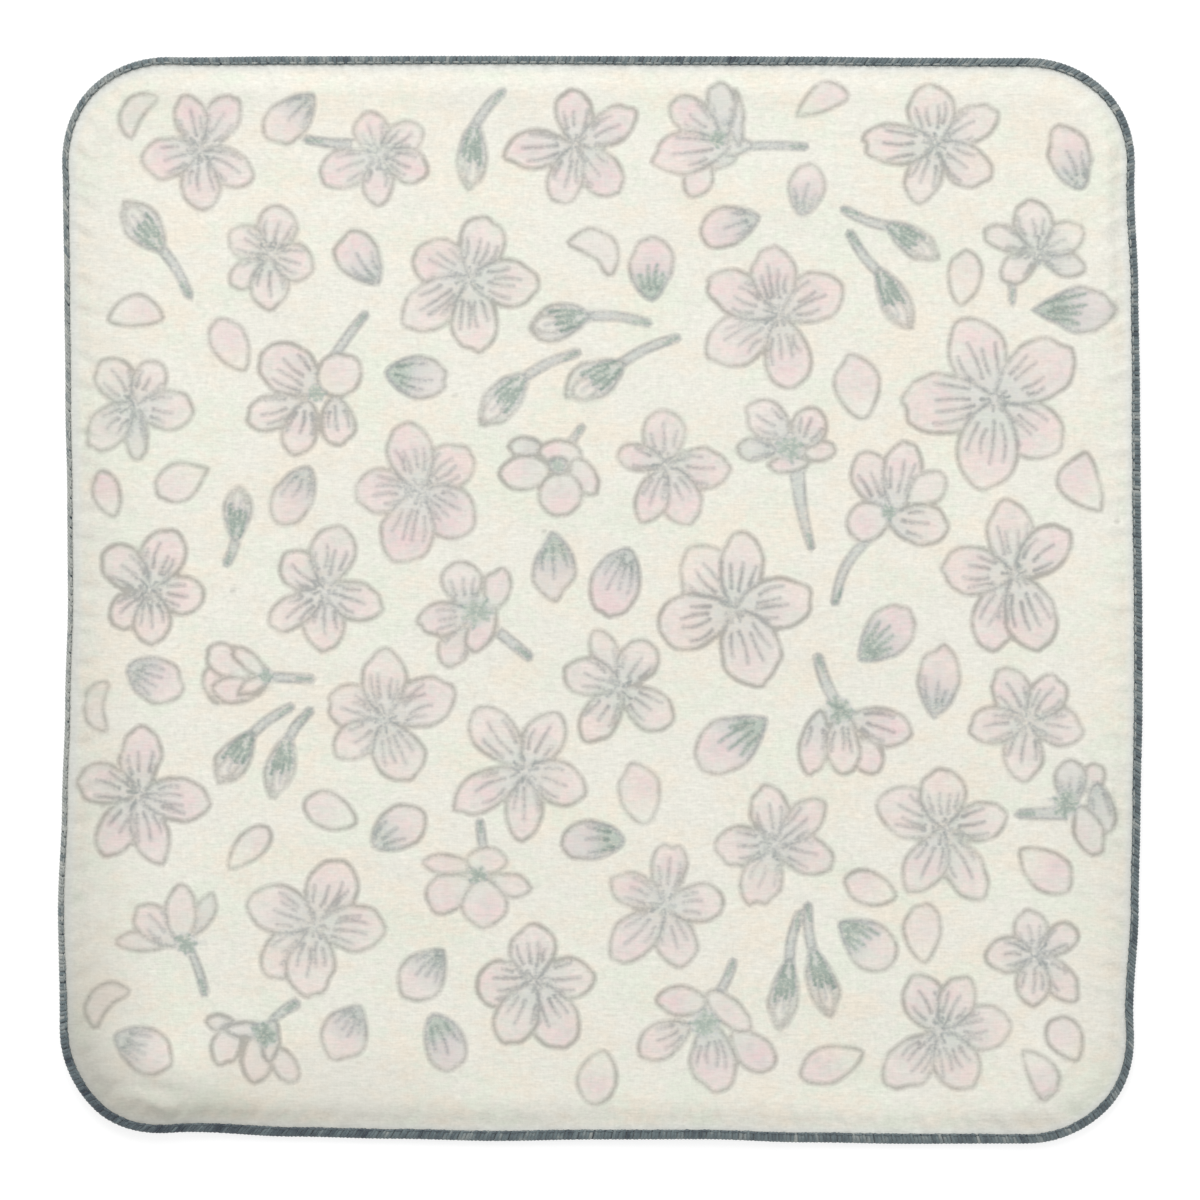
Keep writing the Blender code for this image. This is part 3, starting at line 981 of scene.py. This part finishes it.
def mapSheet(mesh, vertices, frontCount, rimCount):
    # one map for the whole sheet: the front wide, the back in a narrow strip beside it
    flat = mesh.uv_layers.new(name="OFBake")
    corner = np.zeros(len(mesh.loops), int)
    mesh.loops.foreach_get("vertex_index", corner)
    x, y = (vertices[corner, axis] / net["mapSpan"] + 0.5 for axis in (0, 1))
    frontCorner = corner < frontCount
    rimCorner = np.zeros(len(corner), bool)
    rimCorner[-4 * rimCount:] = True
    pushed = rimCorner & ~frontCorner
    x = np.where(pushed, (x - 0.5) * net["mapEdge"] + 0.5, x)
    y = np.where(pushed, (y - 0.5) * net["mapEdge"] + 0.5, y)
    u = np.where(frontCorner | rimCorner, 0.01 + 0.80 * x, 0.83 + 0.16 * x)
    v = 0.01 + 0.98 * y
    flat.data.foreach_set("uv", np.column_stack((u, v)).ravel())


def makeCloth():
    front, frontFaces, frontRim = triangulate(*layOutFront())
    back, backFaces, backRim = triangulate(*layOutBack(), [])
    vertices = np.vstack((layerOf(front, 1.0), layerOf(back, -1.0)))
    shift, rimCount = len(front), len(frontRim)
    faces = frontFaces + [[v + shift for v in reversed(face)] for face in backFaces]
    for i in range(rimCount):
        j = (i + 1) % rimCount
        faces.append([frontRim[i], frontRim[j], backRim[j] + shift, backRim[i] + shift])
    cloth = makeObject("gauze_cloth", vertices * mm, faces)

    bare = np.zeros(len(back))  # no print on the back
    for name, values in zip(("ink", "blush", "sage"), inkCloth(*front.T)):
        storeValues(cloth.data, name, np.concatenate((values, bare)))
    place, inset = placeOf(vertices[:, 0], vertices[:, 1])
    storeValues(cloth.data, "margin", inset)
    # painted shade towards the edges
    storeValues(cloth.data, "grey", paintedEdgeShade(place, inset))
    mapSheet(cloth.data, vertices, shift, rimCount)
    print("cloth:", len(front), "front points,", len(cloth.data.polygons), "faces")
    return cloth


def onEdging(place, inset, height):
    # a point beside the edge, by its place, its inset and its height from the edging's middle
    place = place % 4.0
    x, y = edgePoint(place, inset)
    middle = edging["halfHeight"] + edgeLift(place, np.maximum(inset, 0.0))
    return np.stack((x, y, middle + height), axis=-1)


def makeEdgeCore():
    # the inside of the edging, seen only between the wraps: a solid for the cloth edge and threads under
    # them, its dark colour painted shade of the gaps
    count = edging["coreStations"]
    sink = edging["coreSink"]
    places = np.arange(count) * 4.0 / count
    width = along("stitch", places)
    slot = gauze["pressed"] / 2.0 + 0.05
    top = edging["halfHeight"] - sink
    section = (  # inset and height, from the outer face over the top, round the slot and back
        (sink, 0.4), (0.8, top), (width - 0.35, top), (width - 0.1, slot), (0.9, slot),
        (0.9, -slot), (width - 0.1, -slot), (width - 0.35, -top), (0.8, -top), (sink, -0.4),
    )
    rings = [onEdging(places, np.broadcast_to(inset, count), height) for inset, height in section]
    rings = np.stack(rings, axis=1)
    size = len(section)
    faces = []
    for i in range(count):
        j = (i + 1) % count
        for k in range(size):
            n = (k + 1) % size
            faces.append([i * size + k, i * size + n, j * size + n, j * size + k])
    return makeObject("edge_core", rings.reshape(-1, 3) * mm, faces)


def tubeFaces(count, stations, flipped=False):
    # the faces of four-sided tubes, closed at both ends
    faces = []
    for thread in range(count):
        start = thread * stations * 4
        end = start + (stations - 1) * 4
        for a in range(start, end, 4):
            for k in range(4):
                n = (k + 1) % 4
                faces.append([a + k, a + 4 + k, a + 4 + n, a + n])
        faces.append([start, start + 1, start + 2, start + 3])
        faces.append([end + 3, end + 2, end + 1, end])
    return [face[:1] + face[:0:-1] for face in faces] if flipped else faces


def mapThreads(mesh, count, stations):
    # each thread gets its own cell of the map: its four sides in strips, its two ends above them
    rows = edging["mapRows"]
    columns = math.ceil(count / rows)
    rise = 0.84 / (stations - 1)
    quads = []
    for station in range(stations - 1):
        v0, v1 = 0.05 + rise * station, 0.05 + rise * (station + 1)
        for k in range(4):
            u0, u1 = 0.06 + 0.22 * k, 0.28 + 0.22 * k
            quads += [(u0, v0), (u0, v1), (u1, v1), (u1, v0)]
    for u0 in (0.1, 0.55):
        quads += [(u0, 0.91), (u0 + 0.3, 0.91), (u0 + 0.3, 0.97), (u0, 0.97)]
    thread = np.arange(count)
    cells = np.column_stack(((thread % columns) / columns, (thread // columns) / rows))
    spots = cells[:, None] + np.array(quads) / (columns, rows)
    flat = mesh.uv_layers.new(name="OFBake")
    flat.data.foreach_set("uv", spots.ravel())


def makeEdgeWraps():
    # single threads wrapped round the edge, as flattened tubes
    count = edging["wraps"]
    shake = np.random.RandomState(edging["wrapSeed"])
    shift = edging["wrapShift"]
    index = np.arange(count)
    places = (index + shake.uniform(-shift, shift, count)) * 4.0 / count
    width = along("stitch", places) - edging["slimmer"] + shake.uniform(-0.1, 0.12, count)
    top = edging["halfHeight"] - edging["threadDepth"] * 0.55
    section = (  # inset, height and share of the lean, from the inner end over the edge and under it
        (width - 0.02, 0.3, 0.0), (width - 0.05, 0.62, 0.0), (width - 0.45, top * 0.94, 0.2),
        (0.75, top, 0.6), (0.32, 0.5, 0.9), (0.28, -0.3, 1.0),
        (0.62, -top * 0.9, 0.8), (width - 0.5, -top, 0.3), (width - 0.05, -0.5, 0.0),
    )
    insets = np.column_stack([np.broadcast_to(inset, count) for inset, _, _ in section])
    heights = np.array([height for _, height, _ in section]) + shake.uniform(-0.05, 0.07, (count, 1))
    lean = np.array([share for _, _, share in section]) * edging["lean"]
    spread = places[:, None] + (lean + shake.uniform(-0.12, 0.12, (count, 1))) / cut["sideRun"]

    inwards, upwards = np.gradient(insets, axis=1), np.gradient(heights, axis=1)
    size = np.maximum(np.hypot(inwards, upwards), 1e-6)
    halfDepth = edging["threadDepth"] / 2.0
    halfTurn = edging["threadWidth"] / 2.0 / cut["sideRun"]
    rings = [
        onEdging(spread + across * halfTurn, insets + upwards / size * halfDepth * deep,
                 heights - inwards / size * halfDepth * deep)
        for across, deep in tubeCorners
    ]
    vertices = np.stack(rings, axis=2).reshape(-1, 3)  # thread, station, corner
    wraps = makeObject("edge_wraps", vertices * mm, tubeFaces(count, len(section)))
    drift = sum(
        weight * np.sin(2.0 * math.pi * index * cycles / count + phase)
        for weight, cycles, phase in edging["toneDrift"]
    )
    toneShake = edging["toneShake"]
    tone = along("tone", places) + drift + shake.uniform(-toneShake, toneShake, count)
    storeValues(wraps.data, "tone", np.repeat(np.clip(tone, 0.0, 1.2), len(section) * 4))
    mapThreads(wraps.data, count, len(section))
    print("edging:", count, "wraps,", len(wraps.data.polygons), "faces")
    return wraps


def makeNeedleLine():
    # the needle thread that pins the wraps down along their inner ends
    count = int(4 * cut["sideRun"] / edging["needlePitch"])
    shake = np.random.RandomState(edging["needleSeed"])
    shift = edging["needleShift"]
    places = (np.arange(count) + shake.uniform(-shift, shift, count)) * 4.0 / count
    steps = np.linspace(-0.5, 0.5, edging["needleSteps"])
    spread = places[:, None] + steps * edging["needleLength"] / cut["sideRun"]
    insets = along("stitch", spread % 4.0) - edging["slimmer"] - edging["needleInset"]
    depth = edging["needleDepth"]
    heights = edging["halfHeight"] * 0.80 + depth * np.cos(steps * math.pi)
    half = edging["needleWidth"] / 2.0 * np.sqrt(np.maximum(1.0 - (2.0 * steps) ** 2 * 0.85, 0.05))
    rings = [
        onEdging(spread, insets - across * half, heights + deep * depth) for across, deep in tubeCorners
    ]
    vertices = np.stack(rings, axis=2).reshape(-1, 3)
    line = makeObject("needle_line", vertices * mm, tubeFaces(count, len(steps), flipped=True))
    toneShake = edging["needleToneShake"]
    tone = along("needle", places % 4.0) + shake.uniform(-toneShake, toneShake, count)
    storeValues(line.data, "tone", np.repeat(tone, len(steps) * 4))
    return line


class Wire:
    # one socket of a material, so that its sums read as plain Python
    def __init__(self, maker, socket):
        self.maker = maker
        self.socket = socket

    def sum(self, operation, *values):
        return self.maker.add("ShaderNodeMath", {"operation": operation}, dict(enumerate(values)))

    def __add__(self, other):
        return self.sum("ADD", self, other)

    def __radd__(self, other):
        return self.sum("ADD", other, self)

    def __sub__(self, other):
        return self.sum("SUBTRACT", self, other)

    def __rsub__(self, other):
        return self.sum("SUBTRACT", other, self)

    def __mul__(self, other):
        return self.sum("MULTIPLY", self, other)

    def __rmul__(self, other):
        return self.sum("MULTIPLY", other, self)


class Finish:
    # a material and the nodes behind its Principled shader
    def __init__(self, name, roughness, sheen=0.0):
        self.material = bpy.data.materials.new(name)
        self.material.use_nodes = True
        self.tree = self.material.node_tree
        self.shader = self.tree.nodes["Principled BSDF"]
        self.shader.inputs["Roughness"].default_value = roughness
        self.shader.inputs["Sheen Weight"].default_value = sheen
        self.shader.inputs["Sheen Roughness"].default_value = 0.6
        self.shader.inputs["Specular IOR Level"].default_value = 0.2

    def add(self, kind, settings=None, inputs=None, output=0):
        node = self.tree.nodes.new(kind)
        for name, value in (settings or {}).items():
            setattr(node, name, value)
        for name, value in (inputs or {}).items():
            if isinstance(value, Wire):
                self.tree.links.new(value.socket, node.inputs[name])
            else:
                node.inputs[name].default_value = value
        return Wire(self, node.outputs[output])

    def value(self, name):
        return self.add("ShaderNodeAttribute", {"attribute_name": name}, output="Fac")

    def noise(self, size, stretch=(1.0, 1.0, 1.0), detail=2.0, offset=(0.0, 0.0, 0.0)):
        # size is the length of a fleck in mm, stretched along each axis
        scale = tuple(1.0 / (size * mm * s) for s in stretch)
        where = self.add("ShaderNodeTexCoord", output="Object")
        where = self.add("ShaderNodeMapping", {}, {"Vector": where, "Scale": scale, "Location": offset})
        return self.add("ShaderNodeTexNoise", {}, {"Vector": where, "Scale": 1.0, "Detail": detail,
                                                   "Roughness": 0.55})

    def between(self, value, low, high, soft=True):
        # 0 below low and 1 above high
        kind = "SMOOTHSTEP" if soft else "LINEAR"
        return self.add("ShaderNodeMapRange", {"interpolation_type": kind},
                        {"Value": value, "From Min": low, "From Max": high})

    def mix(self, first, second, share, blend="MIX"):
        return self.add("ShaderNodeMix", {"data_type": "RGBA", "blend_type": blend},
                        {0: share, 6: first, 7: second}, output=2)

    def bump(self, height, distance, strength=1.0):
        return self.add("ShaderNodeBump", {}, {"Height": height, "Distance": distance * mm,
                                               "Strength": strength})

    def feed(self, name, wire):
        self.tree.links.new(wire.socket, self.shader.inputs[name])


def tint(red, green, blue):
    # a colour as an eye reads it, 0 to 255, made linear
    def linear(level):
        share = level / 255.0
        return share / 12.92 if share <= 0.04045 else ((share + 0.055) / 1.055) ** 2.4
    return (linear(red), linear(green), linear(blue), 1.0)


gauzeLook = {
    "ground": tint(239, 237, 227),
    "groundWarm": tint(242, 234, 219),
    "groundGreen": tint(232, 238, 222),
    "blush": tint(238, 215, 214),
    "blushCool": tint(227, 217, 214),
    "heartWash": tint(191, 194, 197),
    "sageWash": tint(180, 193, 183),
    "pencil": tint(124, 121, 113),
    "pencilCool": tint(112, 117, 121),
    "pencilGreen": tint(90, 112, 106),
    "pencilStrength": 0.53,
    # rim: painted shade of the cloth's roll beside the edging
    "rim": tint(230, 232, 228),
    # the colour of the painted shade towards the edges
    "slack": tint(150, 147, 136),
    "thin": (0.77, 0.775, 0.765, 1.0),  # how the colour dims where the threads lie thin
    "rimStart": 2.4,
    "rimShadeEnd": 4.6,
    "weaveDepth": 0.2,
    "weaveStrength": 0.6,
    "flecks": {  # length, stretch along each axis, detail, and an offset that tells them apart
        "weft": (0.42, (7.0, 1.0, 1.0), 2.0, (0.0, 0.0, 0.0)),
        "warp": (0.46, (1.0, 6.0, 1.0), 2.0, (3.0, 7.0, 1.0)),
        "slubs": (0.8, (5.0, 0.8, 1.0), 1.0, (11.0, 2.0, 5.0)),
        "mottle": (11.0, (1.4, 1.0, 1.0), 3.0, (1.0, 9.0, 2.0)),
        "cool": (15.0, (1.0, 1.0, 1.0), 3.0, (6.0, 1.0, 8.0)),
        "patch": (2.6, (1.4, 1.0, 1.0), 3.0, (7.0, 4.0, 1.0)),
        "grain": (0.6, (1.3, 1.0, 1.0), 3.0, (2.0, 5.0, 4.0)),
        "speckle": (1.1, (1.5, 1.0, 1.0), 3.0, (5.0, 3.0, 9.0)),
        "flow": (6.0, (1.0, 1.0, 1.0), 2.0, (8.0, 8.0, 3.0)),
    },
}

threadLook = {
    "dark": tint(54, 64, 74),
    "middle": tint(104, 117, 120),
    "light": tint(172, 175, 170),
    "fibre": 0.28,
    "drift": 2.6,
    # core colours: painted shade seen between the wraps
    "core": tint(46, 54, 62),
    "coreFleck": tint(72, 82, 88),
    "coreFleckSize": 0.5,
}


def gauzeFinish():
    look = gauzeLook
    cloth = Finish("printed gauze", 0.95, 0.15)
    ink, blush, sage = cloth.value("ink"), cloth.value("blush"), cloth.value("sage")
    margin, grey = cloth.value("margin"), cloth.value("grey")
    weft, warp, slubs, mottle, cool, patch, grain, speckle, flow = (
        cloth.noise(*look["flecks"][name])
        for name in ("weft", "warp", "slubs", "mottle", "cool", "patch", "grain", "speckle", "flow")
    )

    # the ground, warmer and greener in patches, with painted shade along the edging: a paler, greyer band
    # for the shade of the cloth's roll there
    warm = cloth.between(mottle * 0.7 + patch * 0.3, 0.42, 0.66)
    colour = cloth.mix(look["ground"], look["groundWarm"], warm)
    green = cloth.between(cool * 0.6 + (1.0 - patch) * 0.4, 0.46, 0.64)
    colour = cloth.mix(colour, look["groundGreen"], green * 0.7)
    # painted shade of the roll beside the edging
    rim = 1.0 - cloth.between(margin, look["rimStart"], look["rimShadeEnd"])
    colour = cloth.mix(colour, look["rim"], rim * 0.8)

    # the print: blush, the wash where petals meet and on stems, then broken pencil lines
    petalInk = blush * (0.3 + 1.0 * grain) * (0.1 + 1.8 * flow)
    pink = cloth.mix(look["blushCool"], look["blush"], cloth.between(patch, 0.35, 0.6))
    colour = cloth.mix(colour, pink, cloth.between(petalInk, 0.0, 0.9, False))
    wash = sage * (2.0 * grain + 1.0 * speckle - 0.5)
    washed = cloth.mix(look["heartWash"], look["sageWash"], cloth.between(sage, 0.5, 0.9))
    colour = cloth.mix(colour, washed, cloth.between(wash, 0.0, 1.0, False) * 0.85)
    pencil = cloth.mix(look["pencil"], look["pencilCool"], cloth.between(sage, 0.1, 0.45))
    pencil = cloth.mix(pencil, look["pencilGreen"], cloth.between(sage + flow * 0.4, 0.58, 1.1))
    broken = (grain - 0.5) * 1.1 + (speckle - 0.5) * 0.7
    rough = ink * (0.2 + 1.6 * flow) + broken * cloth.between(ink, 0.05, 0.4)
    colour = cloth.mix(colour, pencil, cloth.between(rough, 0.0, 1.0, False) * look["pencilStrength"])
    # painted shade towards the edges, most at the bottom left, standing in for the shade of the sloping
    # cloth
    colour = cloth.mix(colour, look["slack"], grey * (0.6 + 0.4 * speckle))

    # the weave over all of it
    threads = 0.42 * weft + 0.22 * warp + 0.2 * slubs + 0.6 * speckle
    shade = cloth.between(threads + (grain - 0.5) * 0.5, 0.47, 1.0, False)
    colour = cloth.mix(colour, look["thin"], (1.0 - shade) * 0.8, "MULTIPLY")
    cloth.feed("Base Color", colour)
    cloth.feed("Normal", cloth.bump(threads + 0.25 * grain, look["weaveDepth"], look["weaveStrength"]))
    return cloth.material


def threadFinish(name):
    look = threadLook
    thread = Finish(name, 0.8, 0.25)
    fibre = thread.noise(look["fibre"])
    drift = thread.noise(look["drift"], offset=(4.0, 4.0, 4.0))
    tone = thread.value("tone") + (drift - 0.5) * 0.9 + (fibre - 0.5) * 0.35
    colour = thread.mix(look["dark"], look["middle"], thread.between(tone, 0.0, 0.55, False))
    colour = thread.mix(colour, look["light"], thread.between(tone, 0.6, 1.15, False))
    thread.feed("Base Color", colour)
    thread.feed("Normal", thread.bump(fibre, 0.12, 0.6))
    return thread.material


def coreFinish():
    # painted shade between the wraps, on the edging's inside
    look = threadLook
    core = Finish("edging shade", 0.9)
    fleck = core.noise(look["coreFleckSize"])
    core.feed("Base Color", core.mix(look["core"], look["coreFleck"], fleck))
    return core.material


studio = {
    "world": 0.655,
    "key": 10.2,
    "fill": 2.1,
    "keyPlace": (-0.25, 0.9, 1.0),
    "fillPlace": (0.9, 0.2, 1.0),
    "lightSize": 0.9,
    "floorSize": 4.0,
    "floorDrop": 0.0002,
    "floorGrey": (0.38, 0.38, 0.38, 1.0),
    "floorGlow": 0.7,
    "white": (1.0, 1.0, 1.0, 1.0),
    "viewWidth": 0.2783,
    "cameraHeight": 1.0,
    "sensor": 36.0,
    "clothTop": 0.002,
}


def addLight(name, place, power):
    light = bpy.data.lights.new(name, "AREA")
    light.energy = power
    light.size = studio["lightSize"]
    lamp = bpy.data.objects.new(name, light)
    lamp.location = place
    lamp.rotation_euler = (-Vector(place)).to_track_quat("-Z", "Y").to_euler()
    bpy.context.scene.collection.objects.link(lamp)


def setStudio():
    scene = bpy.context.scene
    scene.view_settings.view_transform = "Standard"
    world = bpy.data.worlds.new("soft studio")
    world.use_nodes = True
    background = world.node_tree.nodes["Background"]
    background.inputs["Color"].default_value = studio["white"]
    background.inputs["Strength"].default_value = studio["world"]
    scene.world = world
    addLight("key", studio["keyPlace"], studio["key"])
    addLight("fill", studio["fillPlace"], studio["fill"])

    bpy.ops.object.select_all(action="DESELECT")
    bpy.ops.mesh.primitive_plane_add(size=studio["floorSize"], location=(0.0, 0.0, 0.0))
    floor = bpy.context.object
    floor.name = "floor"
    for vertex in floor.data.vertices:
        vertex.co.z -= studio["floorDrop"]
    pale = Finish("pale floor", 0.9)
    pale.shader.inputs["Base Color"].default_value = studio["floorGrey"]
    pale.shader.inputs["Emission Color"].default_value = studio["white"]
    pale.shader.inputs["Emission Strength"].default_value = studio["floorGlow"]
    floor.data.materials.append(pale.material)

    lens = bpy.data.cameras.new("camera")
    lens.sensor_width = studio["sensor"]
    lens.lens = studio["sensor"] * studio["cameraHeight"] / studio["viewWidth"]
    camera = bpy.data.objects.new("camera", lens)
    camera.location = (0.0, 0.0, studio["cameraHeight"] + studio["clothTop"])
    scene.collection.objects.link(camera)
    scene.camera = camera
    print("studio set")


def main():
    bpy.ops.object.select_all(action="DESELECT")
    drawPrint()
    cloth = makeCloth()
    cloth.data.materials.append(gauzeFinish())
    core = makeEdgeCore()
    core.data.materials.append(coreFinish())
    wraps = makeEdgeWraps()
    wraps.data.materials.append(threadFinish("overlock thread"))
    needle = makeNeedleLine()
    needle.data.materials.append(threadFinish("needle thread"))

    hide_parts("cloth")
    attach(cloth, "root")
    for piece in (core, wraps, needle):
        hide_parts("edging")
        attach(piece, "root")
    setStudio()


main()
